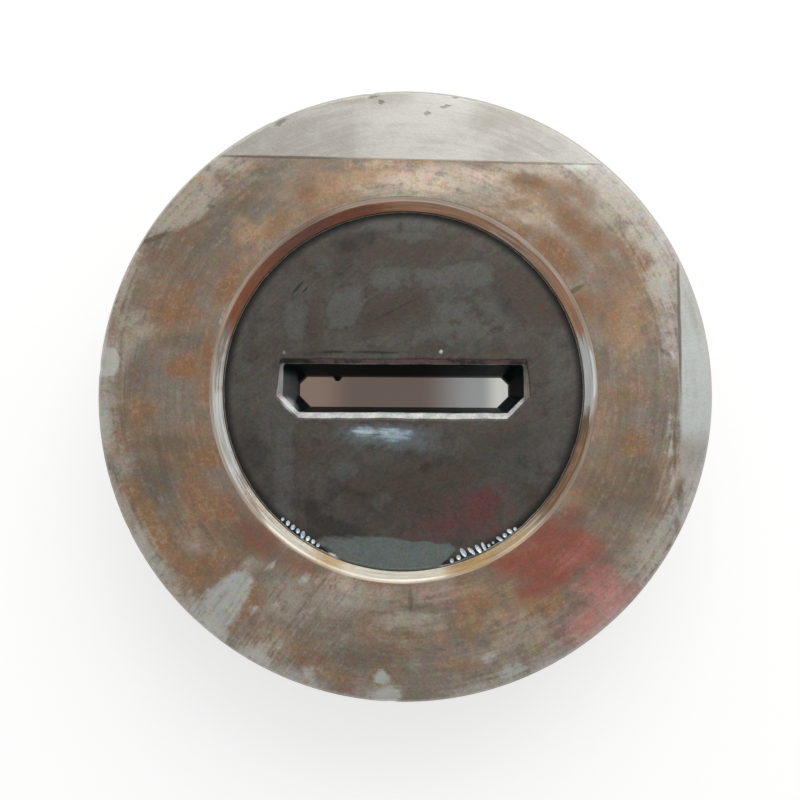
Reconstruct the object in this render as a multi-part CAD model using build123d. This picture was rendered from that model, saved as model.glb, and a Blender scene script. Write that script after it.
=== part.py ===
"""A flat-bar drawing die: a carbide nib with a profiled throat, shrunk into a round steel casing.

Millimetres. The origin is the centre of the casing's back face, +Z runs along the draw axis towards
the entry face, and +X runs along the wide side of the throat.
"""
from build123d import *
import os

# Casing: the outside of the turned steel ring
casing_diameter = 225.0
casing_edge_chamfer = 1.2

# Nib: the sintered carbide disc, with its face below the casing's entry face
nib_diameter = 135.0
nib_height = 40.0
nib_recess = 6.0
nib_face_chamfer = 0.8
nib_back_chamfer = 2.0

# Casing: the cone that opens from the nib's edge to the entry face, and the chamfer at its lip
entry_cone_run = 2.2
lip_chamfer_run = 1.4
lip_chamfer_depth = 1.3

# Casing: the way out behind the nib, a short bore that clears the drawn bar and then a flare
exit_clearance = 5.0
exit_bore_length = 9.0
exit_flare_depth = 10.0
exit_flare_run = 5.0

# Throat: the section that the bar is drawn to, held over a short parallel land
throat_width = 82.0
throat_height = 12.0
throat_upper_corner = 2.8
throat_lower_corner = 4.6
land_length = 4.0

# Approach: the tapered walls above the land, where the bar is squeezed
approach_depth = 12.0
approach_end_run = 4.2
approach_flat_run = 3.0
approach_upper_corner = 0.8
approach_lower_corner = 6.0

# Bell: the bevel dressed by hand around the mouth, widest along its lower side
bell_depth = 2.5
bell_upper_run = 1.9
bell_lower_run = 2.9
bell_end_run_at_top = 1.1
bell_end_run_at_bottom = 2.5
bell_upper_corner = 0.8
bell_lower_corner = 8.7

# Back relief: the walls that fall away behind the land
relief_end_run = 5.0
relief_flat_run = 5.0

# Heights that follow from the sizes above
shoulder_z = exit_flare_depth + exit_bore_length
nib_face_z = shoulder_z + nib_height
entry_face_z = nib_face_z + nib_recess
approach_top_z = nib_face_z - bell_depth
land_top_z = approach_top_z - approach_depth
land_bottom_z = land_top_z - land_length

# Half widths and half heights of the throat's openings, from the land outwards
land_half_width = throat_width / 2
land_half_height = throat_height / 2
approach_half_width = land_half_width + approach_end_run
approach_half_height = land_half_height + approach_flat_run
relief_half_width = land_half_width + relief_end_run
relief_half_height = land_half_height + relief_flat_run


def turned(half_section):
    """A body of revolution about the draw axis, from the (radius, height) points of its half section."""
    section = Plane.XZ * make_face(Polyline(*half_section, close=True))
    return revolve(section, axis=Axis.Z)


def bore_section(z, half_width_at_top, half_width_at_bottom, top, bottom, upper_corner, lower_corner):
    """The bore's outline at one height: a flat opening with its four corners cut off."""
    right_side = [
        (half_width_at_bottom - lower_corner, bottom),
        (half_width_at_bottom, bottom + lower_corner),
        (half_width_at_top, top - upper_corner),
        (half_width_at_top - upper_corner, top),
    ]
    left_side = [(-x, y) for x, y in reversed(right_side)]
    return Plane.XY.offset(z) * make_face(Polyline(*right_side, *left_side, close=True))


def even_section(z, half_width, half_height, upper_corner, lower_corner):
    """A bore section with upright ends, centred on the draw axis."""
    return bore_section(z, half_width, half_width, half_height, -half_height, upper_corner, lower_corner)


def make_casing():
    """The steel casing, turned all over, with the nib's seat, its shoulder and the flared way out."""
    outer_radius = casing_diameter / 2
    seat_radius = nib_diameter / 2
    lip_inner_radius = seat_radius + entry_cone_run
    exit_radius = relief_half_width + exit_clearance
    return turned([
        (exit_radius + exit_flare_run, 0),
        (outer_radius - casing_edge_chamfer, 0),
        (outer_radius, casing_edge_chamfer),
        (outer_radius, entry_face_z - casing_edge_chamfer),
        (outer_radius - casing_edge_chamfer, entry_face_z),
        (lip_inner_radius + lip_chamfer_run, entry_face_z),
        (lip_inner_radius, entry_face_z - lip_chamfer_depth),
        (seat_radius, nib_face_z),
        (seat_radius, shoulder_z),
        (exit_radius, shoulder_z),
        (exit_radius, exit_flare_depth),
    ])


def make_nib_blank():
    """The carbide disc before its bore is cut. Its back rests on the casing's shoulder."""
    radius = nib_diameter / 2
    return turned([
        (0, shoulder_z),
        (radius - nib_back_chamfer, shoulder_z),
        (radius, shoulder_z + nib_back_chamfer),
        (radius, nib_face_z - nib_face_chamfer),
        (radius - nib_face_chamfer, nib_face_z),
        (0, nib_face_z),
    ])


def make_bore():
    """The space that the bar is drawn through: bell, approach, land and back relief, face to back."""
    mouth = bore_section(
        nib_face_z,
        approach_half_width + bell_end_run_at_top,
        approach_half_width + bell_end_run_at_bottom,
        approach_half_height + bell_upper_run,
        -approach_half_height - bell_lower_run,
        bell_upper_corner,
        bell_lower_corner,
    )
    approach_top = even_section(
        approach_top_z, approach_half_width, approach_half_height, approach_upper_corner, approach_lower_corner
    )
    land_top = even_section(
        land_top_z, land_half_width, land_half_height, throat_upper_corner, throat_lower_corner
    )
    land_bottom = even_section(
        land_bottom_z, land_half_width, land_half_height, throat_upper_corner, throat_lower_corner
    )
    relief_back = even_section(
        shoulder_z, relief_half_width, relief_half_height, throat_upper_corner, throat_lower_corner
    )
    bell = loft([mouth, approach_top], ruled=True)
    approach = loft([approach_top, land_top], ruled=True)
    land = loft([land_top, land_bottom], ruled=True)
    relief = loft([land_bottom, relief_back], ruled=True)
    return bell + approach + land + relief


def make_nib():
    """The finished nib: the disc with the tapered bore through it."""
    return make_nib_blank() - make_bore()


os.makedirs("parts", exist_ok=True)
export_step(make_casing(), "parts/casing.step")
export_step(make_nib(), "parts/nib.step")
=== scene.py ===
"""A drawing die for flat bar: a stained steel casing shrunk round a dark carbide nib, entry side up.

Metres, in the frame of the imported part. The draw axis is Z, and the throat's wide side runs along X.
"""
import math

import bpy
import numpy as np
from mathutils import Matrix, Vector


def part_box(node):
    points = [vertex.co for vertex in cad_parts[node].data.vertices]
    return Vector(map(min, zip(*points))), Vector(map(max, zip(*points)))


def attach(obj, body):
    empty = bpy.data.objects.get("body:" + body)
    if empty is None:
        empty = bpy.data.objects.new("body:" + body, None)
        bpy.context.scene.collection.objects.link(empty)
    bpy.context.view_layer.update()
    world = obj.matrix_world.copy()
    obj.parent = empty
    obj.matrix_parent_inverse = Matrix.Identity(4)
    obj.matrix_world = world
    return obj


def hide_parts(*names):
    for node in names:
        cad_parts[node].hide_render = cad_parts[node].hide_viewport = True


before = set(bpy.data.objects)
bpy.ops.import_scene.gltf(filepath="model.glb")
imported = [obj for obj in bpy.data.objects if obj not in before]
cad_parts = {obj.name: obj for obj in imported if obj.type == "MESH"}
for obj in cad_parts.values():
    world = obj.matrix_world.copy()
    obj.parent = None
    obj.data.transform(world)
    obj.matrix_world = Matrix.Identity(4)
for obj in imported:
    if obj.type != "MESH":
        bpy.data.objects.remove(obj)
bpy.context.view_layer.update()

# Camera: held over the entry face at arm's length, a little towards the near side, as the die was seen.
# Its place comes from the circles of the rim and the nib's edge and from the corners of the throat.
camera_data = bpy.data.cameras.new("over_the_die")
camera_data.sensor_width = 36.0
camera_data.lens = 37.175
camera_data.clip_start = 0.01
camera = bpy.data.objects.new("over_the_die", camera_data)
camera.location = (0.0074, -0.0324, 0.365)
camera.rotation_euler = (0.0908, 0.0264, 0.0083)
bpy.context.scene.collection.objects.link(camera)
bpy.context.scene.camera = camera
bpy.context.scene.view_settings.view_transform = "Standard"

# Casing: a ring of tool steel, turned all over and shrunk on hot, so that its entry face took a brown
# film. Handling and storage added rust clouds and wiped patches; the face also has a red patch, and two
# bands at the far and right edges are brighter steel.
MM = 0.001


class Wire:
    """An output in a node tree. Arithmetic on wires and numbers adds Math nodes to the tree."""

    def __init__(self, tree, socket=None):
        self.tree = tree
        self.socket = socket

    def node(self, kind, settings=None, inputs=None, output=0):
        """Any node, from its type, its settings and the values or wires of its sockets."""
        made = self.tree.nodes.new(kind)
        for name, value in (settings or {}).items():
            setattr(made, name, value)
        for name, value in (inputs or {}).items():
            if isinstance(value, Wire):
                self.tree.links.new(value.socket, made.inputs[name])
            else:
                made.inputs[name].default_value = value
        return Wire(self.tree, made.outputs[output])

    def beside(self, output):
        """Another output of the same node."""
        return Wire(self.tree, self.socket.node.outputs[output])

    def maths(self, operation, *values):
        return self.node("ShaderNodeMath", {"operation": operation}, dict(enumerate(values)))

    def vector(self, operation, *values, output=0):
        return self.node("ShaderNodeVectorMath", {"operation": operation}, dict(enumerate(values)), output)

    def __add__(self, other):
        return self.maths("ADD", self, other)

    def __radd__(self, other):
        return self.maths("ADD", other, self)

    def __sub__(self, other):
        return self.maths("SUBTRACT", self, other)

    def __rsub__(self, other):
        return self.maths("SUBTRACT", other, self)

    def __mul__(self, other):
        return self.maths("MULTIPLY", self, other)

    def __rmul__(self, other):
        return self.maths("MULTIPLY", other, self)

    def __truediv__(self, other):
        return self.maths("DIVIDE", self, other)


def paint(red, green, blue):
    """A colour as a screen shows it, 0 to 255, as the linear values that a shader takes."""
    shares = [value / 255 for value in (red, green, blue)]
    return tuple(s / 12.92 if s <= 0.04045 else ((s + 0.055) / 1.055) ** 2.4 for s in shares) + (1.0,)


def x_y_z(vector):
    """The three parts of a vector."""
    x = vector.node("ShaderNodeSeparateXYZ", None, {0: vector})
    return x, x.beside(1), x.beside(2)


def ease(value, start, end):
    """Goes smoothly from 0 to 1 as the value goes from start to end."""
    return value.node(
        "ShaderNodeMapRange", {"interpolation_type": "SMOOTHSTEP"},
        {"Value": value, "From Min": start, "From Max": end},
    )


def laid_over(amount, under, over):
    """One colour laid over another by an amount from 0 to 1."""
    return amount.node("ShaderNodeMix", {"data_type": "RGBA"}, {0: amount, 6: under, 7: over}, 2)


def between(amount, low, high):
    """A number that goes from low to high as the amount goes from 0 to 1."""
    return low + amount * (high - low)


def toned(colour, amount):
    """A colour made lighter or darker by a factor near 1."""
    return colour.node("ShaderNodeVectorMath", {"operation": "SCALE"}, {0: colour, "Scale": amount})


def cloud(place, size, seed, detail=4.0, rough=0.55, output=0):
    """Soft noise with blotches of about this size. Output 1 is three noises as a vector."""
    return place.node(
        "ShaderNodeTexNoise", {"noise_dimensions": "3D"},
        {
            "Vector": place.vector("ADD", place, (0.0, 0.0, float(seed))),
            "Scale": 1.0 / size, "Detail": detail, "Roughness": rough,
        },
        output,
    )


def wander(place, reach, size, seed):
    """The place pushed about by noise, so that an edge drawn on it comes out ragged."""
    push = cloud(place, size, seed, detail=3.0, output=1)
    centred = place.vector("SUBTRACT", push, (0.5, 0.5, 0.5))
    return place.vector("MULTIPLY_ADD", centred, (reach, reach, reach), place)


def turned_to(place, centre, size, angle):
    """The place as seen from a spot's centre, in half lengths along and across it."""
    return place.node(
        "ShaderNodeMapping", {"vector_type": "TEXTURE"},
        {
            "Vector": place,
            "Location": (centre[0] * MM, centre[1] * MM, 0.0),
            "Rotation": (0.0, 0.0, math.radians(angle)),
            "Scale": (size[0] * MM, size[1] * MM, 1000.0),
        },
    )


def marks(place, spots, edge=0.35):
    """1 inside any of a few small ovals and 0 outside. Ovals are given in millimetres and degrees as
    (x, y, half length, half width, angle, strength)."""
    covered = None
    for x, y, half_length, half_width, angle, strength in spots:
        local = turned_to(place, (x, y), (half_length, half_width), angle)
        reach = local.vector("LENGTH", local, output=1)
        inside = ease(reach, 1.0 + edge, 1.0 - edge) * strength
        covered = inside if covered is None else covered.maths("MAXIMUM", covered, inside)
    return covered


def streaks(place, along, across, angle, seed, detail=2.0):
    """Noise drawn out along a direction, as wiping and grinding leave it. Sizes in millimetres."""
    return cloud(turned_to(place, (0.0, 0.0), (along, across), angle), 1.0, seed, detail)


def in_oval(points, x, y, half_length, half_width, angle, strength):
    """How far points lie inside an oval given as for marks: its strength deep inside, half of that on
    the edge, and 0 well outside."""
    turn = math.radians(angle)
    east, north = points[:, 0] / MM - x, points[:, 1] / MM - y
    along = (east * math.cos(turn) + north * math.sin(turn)) / half_length
    across = (north * math.cos(turn) - east * math.sin(turn)) / half_width
    return strength * np.clip(1.5 - np.hypot(along, across), 0, 1)


def in_outline(points, softness, strength, *corners):
    """The same for an outline with corners in millimetres, as soft as this many millimetres."""
    x, y = points[:, 0] / MM, points[:, 1] / MM
    nearest = np.full(len(points), np.inf)
    inside = np.zeros(len(points), bool)
    for (start_x, start_y), (end_x, end_y) in zip(corners, corners[1:] + corners[:1]):
        run_x, run_y = end_x - start_x, end_y - start_y
        share = ((x - start_x) * run_x + (y - start_y) * run_y) / (run_x ** 2 + run_y ** 2)
        share = np.clip(share, 0, 1)
        gap = np.hypot(x - start_x - share * run_x, y - start_y - share * run_y)
        nearest = np.minimum(nearest, gap)
        level = (start_y > y) != (end_y > y)
        inside ^= level & (x < start_x + (y - start_y) * run_x / (run_y or 1))
    return strength * np.clip(0.5 + np.where(inside, nearest, -nearest) / (2 * softness), 0, 1)


def in_arc(points, start, end, strength):
    """The same for an arc about the draw axis, in degrees, soft over a dozen of them at each end."""
    angle = np.degrees(np.arctan2(points[:, 1], points[:, 0]))
    off_middle = np.abs((angle - (start + end) / 2 + 180) % 360 - 180)
    return strength * np.clip(0.5 + ((end - start) / 2 - off_middle) / 12, 0, 1)


def store_stains(mesh, kind_of_shape, stains):
    """Keeps on a mesh how deep each point lies in each kind of stain, for its material to read."""
    points = np.empty(len(mesh.vertices) * 3, np.float32)
    mesh.vertices.foreach_get("co", points)
    points = points.reshape(-1, 3)
    for name, shapes in stains.items():
        attribute = mesh.attributes.get(name) or mesh.attributes.new(name, "FLOAT", "POINT")
        deepest = np.zeros(len(points), np.float32)
        attribute.data.foreach_get("value", deepest)
        for shape in shapes:
            deepest = np.maximum(deepest, kind_of_shape(points, *shape))
        attribute.data.foreach_set("value", deepest.astype(np.float32))


def stored(wire, name):
    """What a mesh keeps at each point for one kind of stain."""
    return wire.node("ShaderNodeAttribute", {"attribute_name": name}, output="Fac")


def torn(field, noise, crisp=0.5, amount=2.4):
    """A stain with ragged edges, thin in places: its soft field broken up by noise."""
    covered = ease(field * 0.9 + (noise - 0.5) * amount, 0.5 - crisp, 0.5 + crisp)
    return covered * ease(field, 0.0, 0.25)


def new_material(name):
    """A material, its shader node, and the wire of its Object coordinates."""
    material = bpy.data.materials.new(name)
    material.use_nodes = True
    shader = material.node_tree.nodes["Principled BSDF"]
    return material, shader, Wire(material.node_tree).node("ShaderNodeTexCoord", output="Object")


def finish_shader(shader, colour, metallic, roughness, height, depth):
    """Plugs a finish into its shader, with a bump whose full height is the depth in metres."""
    bump = colour.node("ShaderNodeBump", None, {"Height": height, "Distance": depth})
    for name, wire in (
        ("Base Color", colour), ("Metallic", metallic), ("Roughness", roughness), ("Normal", bump),
    ):
        colour.tree.links.new(wire.socket, shader.inputs[name])


def radius_of(place):
    """Distance from the draw axis."""
    return place.vector("LENGTH", place.vector("MULTIPLY", place, (1.0, 1.0, 0.0)), output=1)


def ring_streaks(place, along, across, seed, detail=3.0):
    """Noise drawn out round the draw axis, as turning and polishing leave it. Sizes in millimetres,
    true at a radius of 90."""
    outwards = place.vector("NORMALIZE", place.vector("MULTIPLY", place, (1.0, 1.0, 0.0)))
    spread = place.vector("MULTIPLY", outwards, (90.0 / along, 90.0 / along, 0.0))
    depth = place.node("ShaderNodeCombineXYZ", None, {"Z": radius_of(place) / (across * MM)})
    return cloud(place.vector("ADD", spread, depth), 1.0, seed, detail)


def tinted(colour, noise, spread):
    """A colour whose red, green and blue each stray a little, by a noise of three."""
    factor = colour.vector("MULTIPLY_ADD", noise, (spread,) * 3, (1.0 - spread / 2,) * 3)
    return colour.vector("MULTIPLY", colour, factor)


def feed_lines(place, pitch, seed):
    """The fine lines of a turning tool, across a face or along a side."""
    along = radius_of(place) + x_y_z(place)[2] + float(seed)
    return place.node(
        "ShaderNodeTexNoise", {"noise_dimensions": "1D"},
        {"W": along, "Scale": 1.0 / pitch, "Detail": 3.0, "Roughness": 0.65},
    )


casing_low, casing_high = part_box("casing")
nib_low, nib_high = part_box("nib")
casing_radius = casing_high.x
nib_radius = nib_high.x
entry_face_z = casing_high.z
nib_face_z = nib_high.z
shoulder_z = nib_low.z
casing_edge_chamfer = 1.2 * MM
cone_run = 2.2 * MM
lip_run = 1.4 * MM
lip_depth = 1.3 * MM
band_over_lip = 0.6 * MM
shoulder_run = 16.5 * MM
exit_radius = nib_radius - shoulder_run
exit_flare_run = 5.0 * MM
exit_flare_depth = 10.0 * MM
lip_radius = nib_radius + cone_run + lip_run
rim_radius = casing_radius - casing_edge_chamfer
far_band_y = 85.2 * MM
far_band_slope = 0.0248
right_band_x = 100.6 * MM

# Where each kind of stain lies on the entry face: ovals as for marks, and outlines as their softness,
# their strength and their corners, in millimetres
face_ovals = {
    "pale": [
        (-66, 83, 10, 3.5, 10, 0.9), (10, 77, 16, 6, -4, 0.9), (66, 66, 8, 5, -40, 0.6),
        (50, 82.2, 15, 2.6, -1, 1.1), (63, 82.5, 9, 3.6, -22, 1.2), (16, 81, 12, 3, 0, 0.9),
        (-8, -77, 10, 5, 0, 0.7), (0, 77, 10, 5, 0, 0.8), (42, 66, 10, 5, -20, 0.55),
        (-94, 42, 5, 5, 0, 0.6), (-62, 79, 8, 6, 0, 0.5), (-102, -30, 4, 6, 10, 0.7),
        (53, 59, 9, 4, -45, 0.5), (-102, 14, 4, 8, 0, 0.8), (-86, -62, 4, 8, 35, 0.6),
        (-101, 24, 5, 4, 30, 0.9), (-97, 20, 5, 3, 0, 0.8), (-104, 38, 5, 14, -20, 0.6),
        (-65, 24, 2.5, 6, 14, 0.8), (-8, 73, 12, 3, 0, 0.75), (14, 75, 16, 6, -6, 0.7),
        (28, 75, 12, 7, -10, 0.8), (77, 68, 12, 8, -45, 0.85), (90, 58, 9, 13, 30, 0.9),
        (94, 38, 5, 14, 8, 0.9), (74, 80, 8, 3, -30, 0.8), (86, -50, 7, 5, 0, 0.5),
        (89, -57, 5, 10, -32, 0.95), (94, -25, 5, 12, 0, 0.3), (78, -66, 12, 5, 46, 0.6),
        (-40, -77, 12, 9, 10, 0.7), (-20, -76, 11, 7, 0, 0.95), (11, -73, 9, 5, 0, 0.75),
        (2, -84, 12, 4, 0, 0.7), (45, -88, 13, 7, 20, 0.6), (30, -98, 12, 6, 0, 0.5),
        (-75, -57, 5, 7, 30, 0.6), (-45, -90, 9, 6, -30, 0.55), (-55, -66, 6, 3, 30, 0.6),
        (-14, -94, 20, 10, 0, 0.35),
    ],
    "tan": [
        (10, 82.4, 7, 2.6, 0, 0.7), (-26, 76, 24, 5, 8, 0.8), (-10, 79, 14, 3.5, 0, 1.0),
        (-46, 62, 11, 5, 44, 0.75), (15, 80, 8, 2.5, 0, 0.3), (-76, 76, 10, 4, 46, 0.8),
        (82, 22, 8, 14, 6, 0.6), (74, -14, 8, 6, 0, 0.5), (48, 66, 9, 5, -30, 0.7),
        (62, -41, 6, 5, 40, 0.6), (30, -78, 12, 6, 0, 0.6), (-76, -40, 6, 14, 12, 0.6),
        (40, -82, 14, 6, 20, 0.55), (15, -92, 16, 7, 0, 0.4), (-12, -73, 8, 5, 0, 0.4),
    ],
    "rust": [
        (-65, 37, 4, 9, -28, 0.95), (-55, -77, 3, 8, -24, 0.8), (54, -77.5, 5, 3.5, 30, 0.9),
        (-85, 28, 8, 5.5, 20, 0.95), (-81, 34, 5, 4, 20, 0.7), (-81, 7, 7, 4.5, 10, 1.0),
        (-71, 12, 3, 9, 3, 0.8), (-71, -4, 3, 7, 0, 0.6), (-70, -26, 5, 4.5, 12, 1.0),
        (-75, -38, 6, 12, 14, 0.8), (-66, -45, 6, 9, 30, 0.8), (-98, -40, 4, 7, 25, 0.9),
        (-93, -47, 4, 6, 30, 0.95), (-87, -56, 5, 7, 35, 0.95), (-81, -63, 4, 6, 40, 0.8),
        (-72, -67, 8, 5, 25, 0.95), (-95, -10, 5, 6, 0, 0.85), (-47, 60, 8, 3.5, 44, 0.7),
        (48, 76.6, 9, 2.0, -8, 0.75), (60, 74.5, 9, 2.6, -24, 0.55), (44, 57, 4, 2.5, 30, 0.8),
        (63, 62, 8, 5, -50, 0.8), (70, 55, 5, 5, -50, 0.7), (56, 50, 10, 5, -46, 1.0),
        (60, 45, 6, 5, -50, 0.9), (67, 30, 4, 6, 20, 0.75), (76, 28, 6, 9, 10, 0.6),
        (89, 47, 2.6, 4, 0, 0.85), (83, -20, 6, 5, 0, 0.85), (66, -40, 7, 4, 40, 0.5),
        (27, -77, 7, 4, 0, 0.75), (24, -86, 6, 5, 0, 0.6), (22, -99, 8, 3, 0, 0.6),
        (53, -77, 6, 3.5, 30, 0.95), (-22, -104, 7, 3.5, -12, 0.6), (-36, 72, 6, 3, 20, 0.55),
        (-106, -22, 2, 9, 15, 0.5), (68, 70, 4, 5, -20, 0.5), (42, 68, 5, 1.8, 10, 0.6),
        (-78, -54, 4, 4, 0, 0.55), (-78, 26, 4, 4, 0, 0.55),
    ],
    "rust_red": [
        (-52, -55, 10, 4.5, -40, 1.0), (-60, -46, 4, 7, 40, 0.6), (-51, -79, 2.4, 7, -28, 0.5),
        (-70.5, 78, 2, 1.6, 0, 0.95), (-72, 10, 2, 6, 0, 0.5), (64, 31, 3, 3, 0, 0.6),
        (-38, -64, 8, 2.5, -22, 0.6), (8, -71, 8, 2.5, 4, 0.45), (60, -47, 7, 3.4, 30, 0.85),
        (74, -70, 5, 4, 0, 0.55), (66, -86, 5, 4, 20, 0.55),
    ],
    "smoke": [
        (-62, 67, 13, 5, 16, 0.9), (-84, 52, 12, 7, 40, 0.75), (-72, 48, 12, 8, 50, 0.7),
        (-53, 80.6, 6, 1.8, 6, 1.0), (-45, 83.5, 3, 1.4, 20, 0.8), (-92, 56.5, 5, 1.2, 16, 1.0),
        (-50, 75, 8, 4, 10, 0.6), (-80, 16, 9, 4, 0, 0.75), (-90, -35, 8, 9, 15, 1.0),
        (-85, -22, 12, 4, 0, 0.8), (-66, -48, 3, 5, 30, 0.4), (79, 47, 7, 5, -30, 0.4),
        (84, -36, 9, 15, -12, 0.75), (59, -88, 8, 5, 30, 0.85), (-38, 75, 6, 4.5, 10, 0.7),
        (-46, 66, 6, 5, 30, 0.6), (-57, -54, 9, 6, -45, 0.7), (74, 10, 5, 8, 0, 0.5),
        (-39, -101, 4, 5, 0, 0.6), (64, -46, 7, 4, 30, 0.6), (-78, -40, 6, 6, 0, 0.6),
        (64.5, -81, 5, 8, -30, 0.8), (-60, 90, 5, 3, 28, 0.8), (71, -38, 9, 7, 0, 0.8),
        (-24, -105, 9, 3, -12, 0.5), (30, 72, 4, 3, 0, 0.5), (-100, 5, 8, 10, 0, 0.5),
        (98.5, -45, 2, 9, 0, 0.8), (76, 44, 5, 5, 0, 0.5), (-54, 68, 12, 5, 40, 0.6),
        (78, -16, 6, 10, 0, 0.5), (60, -46, 6, 5, 0, 0.4), (-14, -97, 14, 6, 0, 0.8),
        (-76, 46, 14, 10, 55, 0.7), (-72, 56, 15, 5, 36, 1.0), (92, -14, 4, 10, 0, 0.6),
        (-92, 46, 6, 9, -20, 0.7), (-94, 53, 5, 2.5, 20, 1.0), (-58, 75, 6, 4, 0, 0.8),
        (-80, -30, 12, 7, 20, 0.5), (20, -98, 8, 3, 10, 0.5), (59, -94, 6, 4, 20, 0.7),
        (98, -46, 4, 5, 0, 0.6), (98, 51, 4, 4, 0, 0.35), (-62, -54, 5, 4, 0, 0.45),
    ],
    "wiped": [
        (-46, -94, 4, 4, 0, 0.35), (-34.5, -70, 2.6, 1.4, 50, 0.75), (-44, -78.5, 1.8, 1.2, 0, 0.6),
        (-6.7, -103.9, 2.7, 2.3, 0, 0.95), (-4.8, -110.5, 5, 3, 4, 1.3), (-52.5, -80.5, 2.4, 1.8, 0, 0.4),
        (-21, -78, 3, 2, 0, 0.4), (40, -101, 6, 3, 20, 0.8), (32, -97, 3, 2, 0, 0.6),
        (98.3, 12, 0.8, 1.4, 0, 0.9), (97, -22, 0.8, 12, 0, 0.6), (-95, 55.8, 1.4, 0.8, 20, 0.8),
        (49, -101.5, 5, 2, 25, 0.6), (62, 83, 9, 2.4, -2, 0.6),
    ],
    "light": [
        (8, 77, 15, 5, -2, 0.62), (30, 79, 10, 3, -4, 0.6), (57, 77, 7, 3, -20, 0.6),
        (-22, -71, 7, 4, -10, 0.6), (-8, 84, 12, 2, 0, 0.6), (-70, 82, 4, 4, 0, 0.6),
    ],
    "pink": [
        (66, -57, 6, 4, 20, 0.35), (70, -68, 6, 4, 30, 0.6), (62, -62, 7, 5, 30, 0.4),
        (52, -88, 9, 5, 20, 0.25), (14, -75, 8, 4, 0, 0.4),
    ],
}
face_outlines = {
    "worn": [
        (1.4, 1.0, (-116, 46), (-98, 54.5), (-91, 57), (-84, 58.5), (-78, 61.5), (-74.5, 66), (-69, 70.5),
         (-66, 74), (-70, 78), (-64, 81), (-60, 84), (-66, 92), (-112, 92)),
        (5.0, 0.85, (-116, -26), (-104, -30), (-99, -45), (-91, -60), (-80, -72), (-70, -80), (-64, -90),
         (-68, -100), (-90, -80), (-110, -50)),
        (5.0, 0.7, (-112, 20), (-103, 12), (-101, -12), (-105, -30), (-118, -26), (-118, 20)),
        (5.0, 0.8, (101, 58), (86, 58), (78, 66), (68, 75), (56, 82), (66, 88), (80, 88), (98, 70)),
        (5.0, 0.7, (102, 2), (95, 8), (92, 34), (86, 48), (82, 60), (100, 62), (102, 20)),
        (5.0, 0.6, (-116, 22), (-102, 26), (-100, 40), (-96, 54), (-118, 50)),
        (4.0, 0.6, (-60, -82), (-48, -90), (-40, -98), (-34, -110), (-60, -102)),
        (6.0, 0.8, (118, -4), (99, -6), (97, -28), (94, -52), (84, -66), (96, -76), (118, -30)),
    ],
    "tan": [
        (1.4, 0.9, (-65, 61), (-63.5, 65), (-60.5, 65.5), (-57.5, 61.5), (-54, 58.5), (-55.5, 54),
         (-61, 53), (-64, 56)),
    ],
    "dull": [
        (8.0, 0.78, (-78, 80), (-66, 96), (-48, 106), (-36, 108), (-18, 110), (-14, 98), (-14, 80)),
        (8.0, 0.9, (8, 92), (24, 96), (28, 114), (70, 106), (84, 92), (60, 94)),
        (3.0, 0.8, (-34, 104), (-10, 106), (2, 108), (10, 116), (-34, 116)),
        (9.0, 0.8, (28, 82), (66, 82), (56, 98), (34, 100)),
        (6.0, 0.6, (101, 18), (112, 18), (108, 44), (101, 44)),
        (5.0, 1.0, (98, -18), (114, -18), (106, -50), (98, -54)),
    ],
    "pale": [
        (1.0, 1.0, (-100, 57), (-90, 58), (-84, 59.5), (-78, 62), (-74, 65), (-71.5, 68.5), (-77, 76),
         (-92, 66)),
        (1.6, 0.95, (-106, -33), (-101, -41), (-95, -51), (-88.5, -60), (-80, -69.5), (-80, -79),
         (-95, -62), (-104, -46), (-110, -28)),
    ],
    "wiped": [
        (1.6, 0.9, (-72.5, -78.7), (-68.5, -74), (-64.1, -69.5), (-59.7, -67.4), (-54.8, -67.2),
         (-53, -70.7), (-54.3, -75.5), (-56.2, -80.2), (-59.6, -85), (-62, -87), (-60, -94), (-72, -90),
         (-77, -81)),
        (0.5, 0.8, (-44, -61.2), (-45.6, -66.4), (-48.8, -66.4)),
        (1.8, 0.9, (-55, -93), (-50.4, -93), (-46, -97.5), (-44, -103), (-58, -97)),
        (1.6, 0.85, (-34.8, -101), (-31.4, -101.2), (-28.8, -105.9), (-28.5, -109), (-34, -108)),
        (0.7, 1.0, (-112, 14.5), (-106.5, 13.5), (-103.8, 10), (-106, 3.5), (-112, 2.5)),
    ],
    "red_patch": [
        (5.0, 0.7, (60, -66), (72, -58), (78, -64), (72, -72), (64, -74)),
        (3.4, 1.1, (31, -63), (41, -57), (49, -49), (52.4, -47.2), (56.8, -49.4), (63.3, -49.8), (68, -53),
         (72.4, -55.7), (70, -61.4), (64, -67), (58, -71.4), (50, -75), (43, -77), (41.5, -73.3),
         (45.5, -70), (36, -66.5)),
    ],
    "pink": [
        (4.4, 0.95, (68, -69), (76, -67), (82, -71), (86, -71), (80, -82), (70, -92), (60, -96), (57, -92),
         (60, -82.7), (65, -77.3), (62, -72)),
    ],
}

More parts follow.
